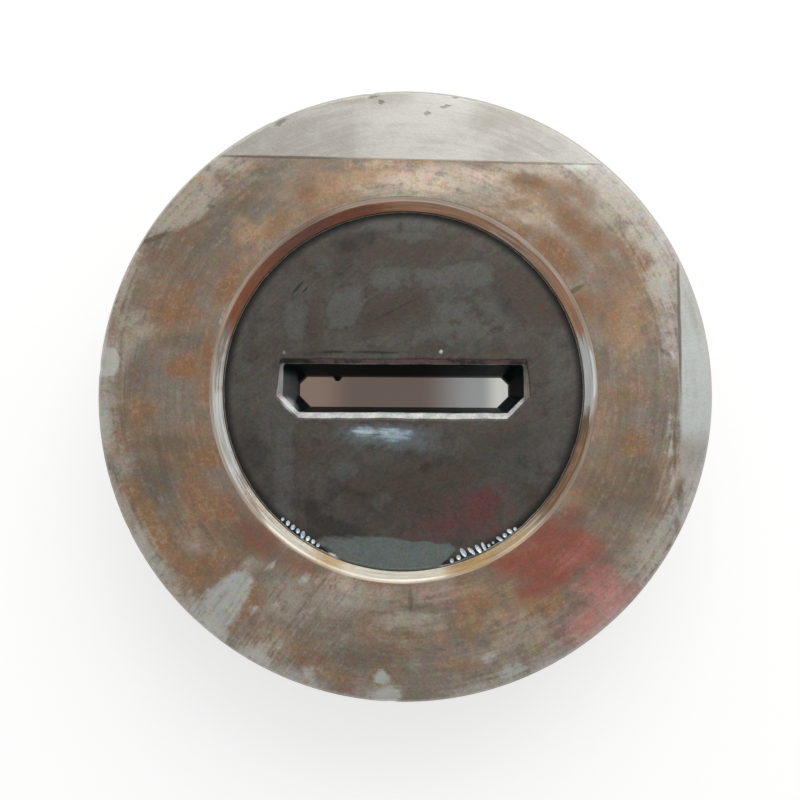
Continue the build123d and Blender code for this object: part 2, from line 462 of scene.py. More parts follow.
# Pits, and fine dark lines, most of them where the bright bands end
pits_seen = [
    (-12, 110, 2.4, 0.8, 8, 0.6), (-9, 107.5, 1.2, 0.8, 20, 0.6), (-47, 99.7, 2.6, 0.8, 32, 0.5),
    (8.6, 103, 1.1, 0.8, 20, 0.5), (15.5, 105.8, 2.2, 0.5, 8, 0.5), (19, 109.3, 1.2, 0.5, -10, 0.5),
]
edge_lines = [
    (-46, 86.3, 24, 0.55, -1.2, 0.8), (50, 83.7, 24, 0.5, -1.4, 0.45), (2, 85.2, 30, 0.4, -1.4, 0.25),
    (100.9, 24, 0.6, 27, 0, 0.8), (98.2, -22, 0.5, 9, 0, 0.5), (99.9, -39.5, 1.2, 6, 0, 0.45),
    (98.8, -50, 1.0, 4, 8, 0.4), (96, 12.5, 2.6, 0.8, -35, 0.5), (63, 35.6, 4, 0.9, 32, 0.8),
    (3.6, -77, 0.8, 4.5, 0, 0.5), (-93.4, 55, 5.6, 1.0, 20, 0.8), (-76, 61.4, 6, 0.7, 28, 0.4),
    (-72.3, 67.3, 1.3, 0.9, 0, 0.6), (-68.8, 80, 2.8, 1.9, 10, 0.4),
]

STEEL_BRIGHT = paint(173, 172, 168)
STEEL_DULL = paint(146, 142, 134)
STEEL_GREEN = paint(184, 189, 186)
FILM_GREY = paint(131, 121, 110)
FILM_BROWN = paint(137, 115, 96)
FILM_PALE = paint(168, 160, 147)
FILM_LIGHT = paint(206, 186, 168)
FILM_TAN = paint(168, 138, 110)
FILM_WORN = paint(162, 154, 140)
FILM_WORN_GREY = paint(178, 174, 167)
RUST = paint(146, 105, 72)
RUST_PALE = paint(172, 138, 102)
RUST_RED = paint(134, 84, 66)
SMOKE = paint(96, 90, 80)
WIPED = paint(187, 191, 187)
RED_PATCH_TONE = paint(142, 76, 60)
PINK_PATCH_TONE = paint(196, 134, 128)
LINE_DARK = paint(98, 87, 73)
# Pale steel for the rim's wear and painted highlight
RIM_HIGHLIGHT = paint(206, 200, 190)


def entry_face_material():
    """Bright ground steel under a brown film, with the stains that handling left on it."""
    material, shader, place = new_material("stained_entry_face")
    broad = cloud(place, 26 * MM, 3)
    mottle = cloud(place, 7 * MM, 4, 6.0, 0.75)
    blotch = cloud(place, 3.4 * MM, 12, 5.0, 0.7)
    speckle = cloud(place, 1.6 * MM, 6, 4.0, 0.7)
    rubbing = ring_streaks(place, 20, 1.5, 7, 4.0)
    wiping = streaks(place, 13, 1.5, 54, 8, 4.0)
    x, y, _ = x_y_z(place)
    wiped_across = ease(y, -50 * MM, -72 * MM) * ease(x, 0.0, -30 * MM)
    strokes = rubbing + (wiping - rubbing) * wiped_across
    tear = mottle * 0.35 + blotch * 0.2 + speckle * 0.15 + strokes * 0.3

    colour = laid_over(ease(broad, 0.4, 0.6), FILM_GREY, FILM_BROWN)
    for name, noise, share, film in (
        ("tan", mottle, 0.8, FILM_TAN), ("pale", tear, 0.85, FILM_PALE), ("light", tear, 0.75, FILM_LIGHT),
        ("smoke", mottle, 0.65, SMOKE),
    ):
        colour = laid_over(torn(stored(place, name), noise) * share, colour, film)
    rust = torn(stored(place, "rust"), tear, 0.5, 3.0)
    colour = laid_over(rust * 0.85, colour, laid_over(ease(speckle, 0.5, 0.62) * 0.5, RUST, RUST_PALE))
    rust_red = torn(stored(place, "rust_red"), tear, 0.5, 3.0)
    colour = laid_over(rust_red * 0.8, colour, RUST_RED)
    red_patch = torn(stored(place, "red_patch"), tear, 0.5, 1.5)
    colour = laid_over(red_patch * 0.85, colour, RED_PATCH_TONE)
    pink = torn(stored(place, "pink"), tear, 0.5, 1.8)
    colour = laid_over(pink * 0.66, colour, PINK_PATCH_TONE)
    worn = laid_over(ease(x, -50 * MM, 60 * MM), FILM_WORN, FILM_WORN_GREY)
    colour = laid_over(torn(stored(place, "worn"), tear, 0.4, 3.2) * 0.75, colour, worn)
    colour = laid_over(ease(tear, 0.5, 0.6) * (1.0 - 0.7 * red_patch) * 0.34, colour, FILM_PALE)
    colour = laid_over(ease(tear, 0.5, 0.4) * 0.4, colour, SMOKE)
    colour = laid_over(ease(mottle, 0.5, 0.6) * ease(blotch, 0.5, 0.4) * ease(x, 60 * MM, -20 * MM) * 0.5,
                       colour, RUST)
    wiped = torn(stored(place, "wiped"), tear, 0.4, 3.2)
    edge_wear = ease(radius_of(place) + (tear - 0.5) * 0.02, rim_radius - 7.3 * MM, rim_radius + 0.7 * MM)
    edge_wear = edge_wear * ease(broad, 0.36, 0.6)
    edge_wear = edge_wear * (1.0 - ease(x, -60 * MM, -85 * MM) * ease(y, 10 * MM, 25 * MM) * 0.8)
    colour = laid_over(wiped.maths("MAXIMUM", wiped * 0.75, edge_wear * 0.5), colour, WIPED)
    colour = tinted(colour, cloud(place, 4.0 * MM, 11, 3.0, output=1), 0.35)

    far_band = ease(y - (far_band_y - x * far_band_slope), -0.4 * MM, 0.8 * MM)
    right_band = ease(x - right_band_x, -0.9 * MM, 0.9 * MM) * ease(y, -46 * MM, -8 * MM)
    bright_bands = far_band.maths("MAXIMUM", far_band, right_band)
    steel = laid_over(ease(y, 60 * MM, 20 * MM), STEEL_BRIGHT, STEEL_GREEN)
    dull = torn(stored(place, "dull"), tear)
    steel = laid_over(dull.maths("MAXIMUM", dull * 0.9, ease(tear, 0.48, 0.6) * 0.3), steel, STEEL_DULL)
    colour = laid_over(bright_bands * 0.94, colour, steel)
    lines = marks(wander(place, 0.5 * MM, 6 * MM, 9), edge_lines, 0.4)
    colour = laid_over(lines, colour, LINE_DARK)
    pits = marks(wander(place, 1.6 * MM, 1.5 * MM, 10), pits_seen, 0.4)
    colour = laid_over(pits, colour, SMOKE)
    # The rim's edge: worn steel and a painted highlight, stronger on the far side
    rim = ease(radius_of(place) + (tear - 0.5) * 0.006, rim_radius - 0.5 * MM, rim_radius + 0.3 * MM)
    rim = rim * between(ease(y, -20 * MM, 20 * MM), 0.3, 0.7)
    colour = laid_over(rim, colour, RIM_HIGHLIGHT)
    grain = cloud(place, 0.9 * MM, 5, 3.0, 0.65)
    bare = bright_bands.maths("MAXIMUM", bright_bands, wiped)
    colour = toned(colour, 1.0 + (ease(grain, 0.3, 0.7) - 0.5) * between(bare, 0.22, 0.08))

    oxide = rust.maths("MAXIMUM", rust, rust_red)
    metallic = 0.9 - 0.5 * oxide - 0.35 * red_patch - 0.5 * rim
    metallic = metallic.maths("MAXIMUM", metallic, 0.0)
    roughness = 0.54 - 0.1 * bare + 0.18 * oxide + 0.14 * (grain - 0.5) + 0.1 * (strokes - 0.5)
    height = 0.5 * grain + 0.3 * speckle * (0.4 + oxide) - 1.5 * pits - 0.4 * lines
    finish_shader(shader, colour, metallic, roughness, height, 0.1 * MM)
    return material


# Heat colours along the cone, a painted glint, a painted highlight along the lip and a light line at its
# foot, as arcs from one angle to another with a strength
cone_arcs = {
    "copper": [(88, 162, 1.0), (24, 100, 0.35)],
    "pale_copper": [(10, 98, 1.0), (318, 380, 0.3)],
    "dark_copper": [(112, 136, 0.9)],
    "brown": [(316, 356, 1.0), (352, 380, 0.3)],
    "gold": [(243, 252, 1.0), (284, 301, 1.1), (298, 314, 0.8)],
    "cream": [(226, 284, 1.6), (206, 230, 0.3), (299, 315, 0.8)],
    # silver_and_glint: a painted glint at the right, and silver grey at the left and upper right
    "silver_and_glint": [(-6, 14, 1.6), (180, 212, 0.95), (166, 184, 0.6), (44, 62, 0.35)],
    "lip_highlight": [
        (27, 112, 1.0), (-3, 27, 0.35), (-4, 12, 1.0), (130, 164, 0.5), (186, 206, 0.2), (250, 278, 0.8),
        (276, 290, 0.5), (300, 314, 0.6), (330, 346, 0.15),
    ],
    "foot_light_line": [(34, 66, 0.7)],
}

# Their colours and how far each covers the ones before it
cone_colours = {
    "brown": (paint(140, 108, 80), 0.85),
    "copper": (paint(170, 100, 68), 0.9),
    "pale_copper": (paint(228, 178, 144), 0.8),
    "dark_copper": (paint(140, 102, 92), 0.8),
    "cream": (paint(255, 248, 230), 0.97),
    "gold": (paint(206, 168, 106), 0.8),
    "silver_and_glint": (paint(244, 248, 246), 0.95),
}
CONE_STEEL = paint(180, 164, 148)
# Pale steel for the lip's painted highlight, also used for the light line at the foot
LIP_STEEL = paint(206, 190, 174)
LIP_FILM = paint(152, 136, 120)


def entry_cone_material():
    """The cone and its lip, turned last with a fine feed: heat colours run round it from cream to
    copper, with a painted glint at the right, a painted highlight along the lip and a light line at its
    foot."""
    material, shader, place = new_material("turned_entry_cone")
    streak = ring_streaks(place, 24, 0.5, 21, 4.0)
    mottle = cloud(place, 4 * MM, 22)
    tear = streak * 0.7 + mottle * 0.3
    colour = CONE_STEEL
    for name, (heat_colour, share) in cone_colours.items():
        colour = laid_over(torn(stored(place, name), tear, 0.4) * share, colour, heat_colour)
    radius = radius_of(place) + (tear - 0.5) * 0.0014
    bands = ease(stored(place, "silver_and_glint"), 1.0, 1.5)
    for name in ("cream", "gold"):
        bands = bands.maths("MAXIMUM", bands, stored(place, name))
    lip_start = lip_radius - lip_run + bands.maths("MINIMUM", bands, 1.0) * band_over_lip
    lip = ease(radius - lip_start, -0.2 * MM, 0.5 * MM)
    # Painted highlight along the lip, where its arcs are strong
    lip_with_highlight = laid_over(stored(place, "lip_highlight"), LIP_FILM, LIP_STEEL)
    colour = laid_over(lip * 0.9, colour, lip_with_highlight)
    # A light line along the cone's foot in one place
    foot = ease(radius, nib_radius + 0.55 * MM, nib_radius + 0.2 * MM)
    colour = laid_over(foot * stored(place, "foot_light_line"), colour, LIP_STEEL)
    colour = toned(colour, between(ease(streak, 0.3, 0.7), 0.8, 1.2))
    metallic = 0.25 + 0.15 * mottle
    roughness = 0.36 + 0.2 * mottle
    finish_shader(shader, colour, metallic, roughness, streak + 0.3 * mottle, 0.08 * MM)
    return material


SIDE_STEEL = paint(150, 147, 139)
SIDE_BROWN = paint(112, 94, 76)


def turned_side_material():
    """The outside, the back and the way out: turned steel with feed lines, film and freckles of rust."""
    material, shader, place = new_material("turned_side")
    feed = feed_lines(place, 1.1 * MM, 2)
    ragged = wander(wander(place, 14 * MM, 18 * MM, 31), 4 * MM, 3 * MM, 32)
    broad = cloud(ragged, 30 * MM, 33)
    mottle = cloud(ragged, 6 * MM, 34, 5.0, 0.62)
    grain = cloud(place, 1.2 * MM, 35, 3.0, 0.6)
    speckle = cloud(place, 2.4 * MM, 36, 3.0, 0.7)
    film = ease(broad * 0.6 + mottle * 0.25 + speckle * 0.15, 0.4, 0.62)
    rust = ease(broad, 0.5, 0.72) * ease(speckle, 0.46, 0.62)
    colour = laid_over(film * 0.55, SIDE_STEEL, SIDE_BROWN)
    colour = laid_over(ease(mottle, 0.44, 0.76) * 0.3, colour, FILM_TAN)
    colour = laid_over(rust * 0.55, colour, RUST)
    # Painted shade: darker towards and inside the way out, in the smoke colour
    inside = ease(radius_of(place), exit_radius + exit_flare_run + 2 * MM, exit_radius + 1 * MM)
    colour = laid_over(inside * 0.6, colour, SMOKE)
    colour = toned(colour, between(grain, 0.86, 1.14))
    colour = toned(colour, between(feed, 0.88, 1.12))
    metallic = 0.9 - 0.5 * rust - 0.15 * film
    roughness = 0.4 + 0.12 * film + 0.22 * rust + 0.1 * (grain - 0.5)
    finish_shader(shader, colour, metallic, roughness, feed + 0.4 * grain + 0.4 * rust, 0.12 * MM)
    return material


def new_geometry_tree(name, inputs):
    """A geometry tree with its own geometry and some named inputs, and the wire of that geometry."""
    tree = bpy.data.node_groups.new(name, "GeometryNodeTree")
    for input_name, kind, *value in [("Geometry", "NodeSocketGeometry"), *inputs]:
        socket = tree.interface.new_socket(input_name, in_out="INPUT", socket_type=kind)
        if value:
            socket.default_value = value[0]
    tree.interface.new_socket("Geometry", in_out="OUTPUT", socket_type="NodeSocketGeometry")
    return Wire(tree).node("NodeGroupInput")


def end_tree(geometry, *working_names):
    """The tree that this geometry ends, with the attributes taken off that it only worked with."""
    for name in working_names:
        geometry = geometry.node("GeometryNodeRemoveAttribute", None, {"Geometry": geometry, "Name": name})
    geometry.tree.links.new(geometry.socket, geometry.tree.nodes.new("NodeGroupOutput").inputs[0])
    return geometry.tree


def finished_with(geometry, material, where=True):
    """The geometry with this finish on the faces where the condition holds."""
    return geometry.node(
        "GeometryNodeSetMaterial", None, {"Geometry": geometry, "Selection": where, "Material": material}
    )


def kept(geometry, name, value, kind="FLOAT"):
    """The geometry with a value kept on its points by name."""
    return geometry.node(
        "GeometryNodeStoreNamedAttribute", {"data_type": kind, "domain": "POINT"},
        {"Geometry": geometry, "Name": name, "Value": value},
    )


def of_points(wire, name, kind="FLOAT"):
    """A named attribute of the geometry that the tree works on."""
    return wire.node("GeometryNodeInputNamedAttribute", {"data_type": kind}, {"Name": name})


def casing_tree():
    """Turns a half section about the draw axis, dents the ring and gives each zone its finish."""
    given = new_geometry_tree("turned_casing", [
        ("Steps Round", "NodeSocketInt", 720),
        ("Dings", "NodeSocketObject"),
        ("Lip Radius", "NodeSocketFloat", lip_radius),
        ("Nib Face Height", "NodeSocketFloat", nib_face_z),
        ("Face Chamfer Foot", "NodeSocketFloat", entry_face_z - casing_edge_chamfer),
        ("Side Finish", "NodeSocketMaterial"),
        ("Face Finish", "NodeSocketMaterial"),
        ("Cone Finish", "NodeSocketMaterial"),
    ])
    place = given.node("GeometryNodeInputPosition")
    profile = kept(given, "half_section", place, "FLOAT_VECTOR")
    circle = given.node(
        "GeometryNodeCurvePrimitiveCircle", {"mode": "RADIUS"},
        {"Resolution": given.beside("Steps Round"), "Radius": 1.0},
    )
    rail = kept(circle, "turn", given.node("GeometryNodeSplineParameter"))
    swept = given.node("GeometryNodeCurveToMesh", None, {"Curve": rail, "Profile Curve": profile})
    outwards = given.node("GeometryNodeFlipFaces", None, {"Mesh": swept})
    angle = of_points(given, "turn") * math.tau
    radius, height, _ = x_y_z(of_points(given, "half_section", "FLOAT_VECTOR"))
    ring_place = given.node("ShaderNodeCombineXYZ", None, {
        "X": radius * given.maths("COSINE", angle),
        "Y": radius * given.maths("SINE", angle),
        "Z": height,
    })
    ring = given.node("GeometryNodeSetPosition", None, {"Geometry": outwards, "Position": ring_place})

    dings = given.node("GeometryNodeObjectInfo", None, {0: given.beside("Dings")}, "Geometry")
    nearest = given.node("GeometryNodeSampleNearest", {"domain": "POINT"}, {"Geometry": dings})

    def of_ding(value, kind):
        return given.node(
            "GeometryNodeSampleIndex", {"data_type": kind, "domain": "POINT"},
            {"Geometry": dings, "Value": value, "Index": nearest},
        )

    distance = given.vector("DISTANCE", place, of_ding(place, "FLOAT_VECTOR"), output=1)
    near = ease(distance / of_ding(of_points(given, "reach"), "FLOAT"), 1.0, 0.0)
    depth = of_ding(of_points(given, "depth"), "FLOAT") * near
    inwards = given.node("ShaderNodeVectorMath", {"operation": "SCALE"}, {
        0: given.node("GeometryNodeInputNormal"), "Scale": depth * -1.0,
    })
    dented = given.node("GeometryNodeSetPosition", None, {"Geometry": ring, "Offset": inwards})
    real = given.node("GeometryNodeRealizeInstances", None, {"Geometry": dented})
    outside_lip = given.maths("GREATER_THAN", radius, given.beside("Lip Radius") - 0.1 * MM)
    near_face = given.maths("GREATER_THAN", height, given.beside("Nib Face Height"))
    high_up = given.maths("GREATER_THAN", height, given.beside("Face Chamfer Foot"))
    finished = finished_with(real, given.beside("Side Finish"))
    finished = finished_with(finished, given.beside("Face Finish"), outside_lip * high_up)
    finished = finished_with(finished, given.beside("Cone Finish"), (1 - outside_lip) * near_face)
    return end_tree(finished, "half_section", "turn")


def made_by_tree(source, tree, values, name):
    """The plain mesh object that a geometry tree makes of a source object, which is then removed."""
    modifier = source.modifiers.new(tree.name, "NODES")
    modifier.node_group = tree
    for item in tree.interface.items_tree:
        if item.in_out == "INPUT" and item.name in values:
            modifier[item.identifier] = values[item.name]
    graph = bpy.context.evaluated_depsgraph_get()
    mesh = bpy.data.meshes.new_from_object(source.evaluated_get(graph), depsgraph=graph)
    bpy.data.objects.remove(source)
    return linked(name, mesh)


def linked(name, data):
    """A new object at the origin, in the scene."""
    made = bpy.data.objects.new(name, data)
    bpy.context.scene.collection.objects.link(made)
    return made


def marked_points(name, places, values):
    """An object with one point per mark, each given by angle in degrees, radius and height. Each named
    list of values is kept on the points."""
    mesh = bpy.data.meshes.new(name)
    mesh.from_pydata([
        (radius * math.cos(math.radians(angle)), radius * math.sin(math.radians(angle)), height)
        for angle, radius, height in places
    ], [], [])
    for attribute_name, column in values.items():
        mesh.attributes.new(attribute_name, "FLOAT", "POINT").data.foreach_set("value", column)
    return linked(name, mesh)


def rounded_loops(stations):
    """Loops of points round a closed surface, from its sharp corners. Each station is the loop of a
    corner, the radius in millimetres that it is rounded to, and the strips from it to the next."""
    loops = []
    for index, (corner, rounding, strips) in enumerate(stations):
        following, next_rounding = stations[(index + 1) % len(stations)][:2]
        back = stations[index - 1][0] - corner
        on = following - corner
        back = back / np.linalg.norm(back, axis=1, keepdims=True)
        on = on / np.linalg.norm(on, axis=1, keepdims=True)
        near, far = rounding * MM, 2.2 * rounding * MM
        loops += [corner + back * far, corner + back * near, corner + (back + on) * near * 0.29]
        loops += [corner + on * near, corner + on * far]
        start, end = loops[-1], following - on * 2.2 * next_rounding * MM
        loops += [start + (end - start) * step / strips for step in range(1, strips)]
    return loops


def section_corner(radius, height):
    """A corner of the half section, as a loop of one point."""
    return np.array([[radius, height, 0.0]])


casing_corners = [
    (section_corner(exit_radius + exit_flare_run, 0.0), 0.3, 14),
    (section_corner(rim_radius, 0.0), 0.2, 1),
    (section_corner(casing_radius, casing_edge_chamfer), 0.2, 20),
    (section_corner(casing_radius, entry_face_z - casing_edge_chamfer), 0.2, 1),
    (section_corner(rim_radius, entry_face_z), 0.2, 30),
    (section_corner(lip_radius, entry_face_z), 0.15, 1),
    (section_corner(nib_radius + cone_run, entry_face_z - lip_depth), 0.15, 5),
    (section_corner(nib_radius, nib_face_z), 0.1, 4),
    (section_corner(nib_radius, shoulder_z), 0.1, 3),
    (section_corner(exit_radius, shoulder_z), 0.2, 2),
    (section_corner(exit_radius, exit_flare_depth), 0.2, 4),
]
section_curve = bpy.data.curves.new("casing_section", "CURVE")
section_curve.dimensions = "3D"
section_points = np.concatenate(rounded_loops(casing_corners))
spline = section_curve.splines.new("POLY")
spline.points.add(len(section_points) - 1)
for spline_point, section_point in zip(spline.points, section_points):
    spline_point.co = (*section_point, 1.0)
spline.use_cyclic_u = True

# Dings along the rims and on the side: angle in degrees, share of the height, reach and depth in
# millimetres. These are where they were seen.
dings = [
    (96.5, 1.0, 2.6, 0.5), (116, 1.0, 2.4, 0.4), (80, 1.0, 1.8, 0.3), (268.5, 1.0, 3.0, 0.5),
    (177, 1.0, 3.0, 0.35), (208, 1.0, 2.2, 0.3), (300, 1.0, 2.0, 0.25),
]

# Smaller ones, scattered along the upper rim, the lower rim and the side: lowest and highest share of
# the height, how many, longest reach and greatest depth
scattered_dings = [(1, 1, 22, 2.2, 0.25), (0, 0, 24, 2.8, 0.4), (0.15, 0.85, 14, 3.5, 0.2)]
chance = np.random.default_rng(17)
for low_share, high_share, count, longest, deepest in scattered_dings:
    for _ in range(count):
        dings.append((
            chance.uniform(0, 360), chance.uniform(low_share, high_share),
            chance.uniform(0.5, 1) * longest, chance.uniform(0.4, 1) * deepest,
        ))
ding_radius = casing_radius - 0.3 * MM
ding_places = [(angle, ding_radius, entry_face_z * share) for angle, share, _, _ in dings]
ding_object = marked_points("dings", ding_places, {
    "reach": [reach * MM for _, _, reach, _ in dings],
    "depth": [depth * MM for _, _, _, depth in dings],
})

casing = made_by_tree(linked("casing_section", section_curve), casing_tree(), {
    "Dings": ding_object,
    "Side Finish": turned_side_material(),
    "Face Finish": entry_face_material(),
    "Cone Finish": entry_cone_material(),
}, "finished_casing")
bpy.data.objects.remove(ding_object)
casing.data.shade_smooth()
store_stains(casing.data, in_oval, face_ovals)
store_stains(casing.data, in_outline, face_outlines)
store_stains(casing.data, in_arc, cone_arcs)
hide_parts("casing")
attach(casing, "root")

# Nib: a disc of sintered carbide, ground on its faces, with the throat cut through and lapped. The
# bevel at the mouth is dressed by hand, and a strip of the face by the near edge lies a little lower, with
# a painted reflection on it.
mouth_bevel_depth = 2.5 * MM
approach_depth = 12.0 * MM
land_length = 4.0 * MM
approach_top_z = nib_face_z - mouth_bevel_depth
land_top_z = approach_top_z - approach_depth
land_bottom_z = land_top_z - land_length
nib_face_chamfer = 0.8 * MM
nib_back_chamfer = 2.0 * MM

# Corners of an opening, in millimetres: half widths at top and bottom, top, bottom, and two corner cuts
mouth_shape = (46.3, 47.7, 10.9, -11.9, 0.8, 8.7)
approach_shape = (45.2, 45.2, 9.0, -9.0, 0.8, 6.0)
land_shape = (41.0, 41.0, 6.0, -6.0, 2.8, 4.6)
relief_shape = (46.0, 46.0, 11.0, -11.0, 2.8, 4.6)
steps_round_nib = 512
spokes = np.arange(steps_round_nib) * 360.0 / steps_round_nib
burr_x = -26.2
# The spokes, in degrees, that meet the corners of an opening on the right, from the bottom up
corner_spokes = np.array([-28.0, -11.0, 12.0, 17.0])


def circle_loop(radius, z):
    """A loop of points round the nib."""
    turn = np.radians(spokes)
    return np.stack([radius * np.cos(turn), radius * np.sin(turn), np.full(steps_round_nib, z)], 1)


def opening_loop(shape, z, uneven=0.0, burr=0.0):
    """A loop round the throat at one height, with its points spread along all eight sides, and pushed
    in and out by about this many millimetres where it was dressed by hand. A burr stands out this far
    from its far side."""
    half_top, half_bottom, top, bottom, upper_cut, lower_cut = shape
    right = [
        (half_bottom - lower_cut, bottom), (half_bottom, bottom + lower_cut),
        (half_top, top - upper_cut), (half_top - upper_cut, top),
    ]
    corners = np.array(right + [(-x, y) for x, y in reversed(right)])
    stations = np.concatenate([corner_spokes, 180.0 - corner_spokes[::-1]])
    x = np.interp(spokes, stations, corners[:, 0], period=360.0)
    y = np.interp(spokes, stations, corners[:, 1], period=360.0)
    turn = np.radians(spokes)
    wave = uneven * (np.sin(5 * turn + 1) + 0.7 * np.sin(13 * turn + 2.3) + 0.5 * np.sin(29 * turn + 0.4))
    x, y = x * (1 + wave / half_bottom), y * (1 + wave / top)
    lump = burr * np.exp(-((x - burr_x) / 1.5) ** 4)
    y = np.where(y > 0, y - lump, y)
    return np.stack([x * MM, y * MM, np.full(steps_round_nib, z)], 1)


nib_loops = rounded_loops([
    (circle_loop(nib_radius - nib_face_chamfer, nib_face_z), 0.2, 26),
    (opening_loop(mouth_shape, nib_face_z, 0.1), 0.3, 3),
    (opening_loop(approach_shape, approach_top_z, 0.06), 0.4, 6),
    (opening_loop(land_shape, land_top_z), 0.9, 2),
    (opening_loop(land_shape, land_bottom_z, burr=1.6), 0.2, 6),
    (opening_loop(relief_shape, shoulder_z), 0.3, 12),
    (circle_loop(nib_radius - nib_back_chamfer, shoulder_z), 0.3, 1),
    (circle_loop(nib_radius, shoulder_z + nib_back_chamfer), 0.3, 6),
    (circle_loop(nib_radius, nib_face_z - nib_face_chamfer), 0.2, 1),
])
nib_points = np.concatenate(nib_loops)

# A strip by the near edge lies a little lower than the rest of the face; its lighter colour is a painted
# reflection
near_strip_line_y = -56.3 * MM
near_strip_line_slope = -0.04
near_strip_depth = 0.12 * MM
on_face = nib_points[:, 2] > nib_face_z - 0.02 * MM
past_line = near_strip_line_y + near_strip_line_slope * nib_points[:, 0] - nib_points[:, 1]
share = np.clip(past_line / (1.2 * MM), 0.0, 1.0)
nib_points[:, 2] -= on_face * near_strip_depth * share * share * (3 - 2 * share)

loop_count = len(nib_loops)
this_spoke = np.arange(steps_round_nib)
next_spoke = (this_spoke + 1) % steps_round_nib
nib_faces = []
for row in range(loop_count):
    here, there = row * steps_round_nib, (row + 1) % loop_count * steps_round_nib
    nib_faces.append(np.stack([
        this_spoke + here, this_spoke + there, next_spoke + there, next_spoke + here,
    ], 1))
nib_mesh = bpy.data.meshes.new("nib_blank")
nib_mesh.from_pydata(nib_points.tolist(), [], np.concatenate(nib_faces).tolist())
nib_mesh.shade_smooth()
nib_blank = linked("nib_blank", nib_mesh)

# Where each kind of stain lies on the nib, given as for the casing
nib_ovals = {
    "pool": [(2, 58, 9, 2.4, 0, 0.7)],
    "green": [(58, 4, 5, 16, 0, 0.8), (-60, 8, 4, 14, 0, 0.6), (24, 24, 16, 8, 0, 0.5)],
    "soot": [
        (-33, -45, 5, 3, -50, 1.0), (-29, -50, 6, 3, -20, 1.1), (-23, -52.6, 9, 3, -5, 1.2),
        (-17, 56, 8, 3.5, 24, 0.6), (-22.5, 54.9, 4, 2, 20, 0.9), (-38, -42, 6, 4, 0, 0.5),
        (-10, 12.8, 12, 1.2, 0, 0.6), (-34, 12.8, 7, 1.2, 0, 0.7), (-11.9, 58, 1.2, 1.8, 0, 1.0),
        (-1.3, 60.9, 1.6, 1.2, 0, 0.9), (25, -62.5, 8, 2.0, 24, 1.0), (37, -55.5, 6, 2.0, 34, 0.9),
        (-38.5, -54, 9, 2.2, -36, 1.0), (-27.6, -60.6, 3, 1.6, -28, 0.9), (-30, -54, 8, 3, 0, 0.7),
        (31, -59, 8, 3, 26, 0.8), (-4, 29, 12, 0.9, 28, 0.5), (-24, 44, 6, 1.4, 40, 0.5),
        (0, 40, 1.2, 5, 20, 0.6), (12.5, 43, 0.7, 0.7, 0, 1.0), (-20, -38, 8, 1.6, -20, 0.6),
        (-27, -40, 3, 8, -12, 0.5), (40, 29, 3, 7, 40, 0.4), (-57, 20, 2, 12, -12, 0.4),
        (10, -29, 14, 1.6, 20, 0.5), (-55, -24, 5, 12, 24, 0.75), (-50, -38, 5, 6, 30, 0.5),
        (42, -24, 9, 9, 0, 0.45),
    ],
    "red_oil": [(30, -43, 7, 6, 30, 1.1), (34, -54, 8, 3, 30, 0.5), (52, 31, 1.0, 1.2, 0, 0.8)],
    "painted_glare_core": [(-14, -16.2, 5, 1.5, 0, 1.0), (-4, -17.2, 7, 1.7, -3, 0.8)],
    "painted_glare_haze": [(-7, -17.6, 14, 3.6, -2, 1.1), (2, -20.5, 12, 3.6, -4, 0.6), (25.5, -62.3, 5, 1.0, 24, 0.8)],
}
nib_outlines = {
    "red_oil": [
        (5.0, 0.75, (2, -48), (12, -46), (19, -41), (27, -36), (36, -37), (39, -45), (34, -53), (22, -56),
         (4, -55)),
    ],
    "pool": [
        (2.2, 1.0, (-26, 36), (-22, 38), (-16, 38.5), (-13.5, 35), (-16, 30), (-18.5, 24.5), (-23, 22),
         (-28, 23), (-28.5, 28)),
        (2.2, 0.9, (-10, 45), (2.3, 46), (2.3, 39), (-8, 37), (-12.5, 39.5), (-13, 43)),
        (2.2, 1.0, (5, 45), (14, 44.5), (23, 47.5), (29, 48.5), (33.5, 45), (34, 40), (29, 38.5), (23, 40),
         (16, 38.5), (7.5, 39), (4, 41)),
        (2.6, 0.8, (-44, 32.5), (-38, 34), (-35.5, 30), (-36, 24), (-38, 18), (-42.5, 18), (-45.5, 26)),
        (3.0, 0.9, (-18, -14), (15, -14), (15, -22), (6, -24.5), (-2, -23), (-9, -21.5), (-18, -24.5)),
        (3.4, 0.95, (-46.5, -16), (-41, -16), (-40.5, -34), (-39, -50), (-46, -50), (-47.5, -36)),
        (3.0, 0.7, (-27, -26.5), (-19, -25.5), (-14.5, -31), (-22, -36.5), (-28, -33)),
        (6.0, 0.45, (29, -20), (46, -15), (63, -16), (62, -30), (54, -38), (40, -36), (31, -30)),
        (2.5, 0.8, (-14, 65), (4, 66), (15, 64), (12, 60.5), (-3, 59.5), (-14, 60)),
        (5.0, 0.5, (14, 37), (36, 37), (43, 24), (30, 15), (2, 15), (0, 22), (10, 28)),
        (3.0, 0.5, (-14, -41), (-6, -37), (0, -41), (-6, -48), (-14, -50)),
    ],
    "painted_strip_reflection": [
        (0.8, 1.0, (-29.2, -55.3), (-19.4, -54.6), (-8.1, -55.1), (3.8, -56.4), (18.5, -57.6),
         (19.9, -59.3), (13.7, -65.8), (7.4, -67.4), (0, -68), (-8, -67.6), (-17.1, -65.9), (-22, -63.6),
         (-27, -60.5), (-32, -56.8)),
    ],
    "brown": [
        (2.2, 1.0, (-12, 32.5), (-1.5, 37), (7.5, 37), (9, 32.5), (4.5, 28), (-3, 24), (-10.5, 20.5),
         (-17.5, 18), (-16.5, 24)),
        (3.0, 1.0, (36, 43), (54, 46), (63, 34), (63.5, 25.5), (50, 25), (43, 29), (39, 34)),
        (4.0, 0.9, (-25, 57), (0, 58), (23, 56.5), (24, 50), (2, 48), (-14, 47), (-27, 50)),
        (2.5, 0.9, (-34, 33), (-30, 38), (-31, 22), (-33.5, 14), (-36, 22)),
        (5.0, 0.9, (-22, -34), (-4, -30), (10, -26), (30, -30), (16, -44), (-4, -47), (-24, -46)),
    ],
}
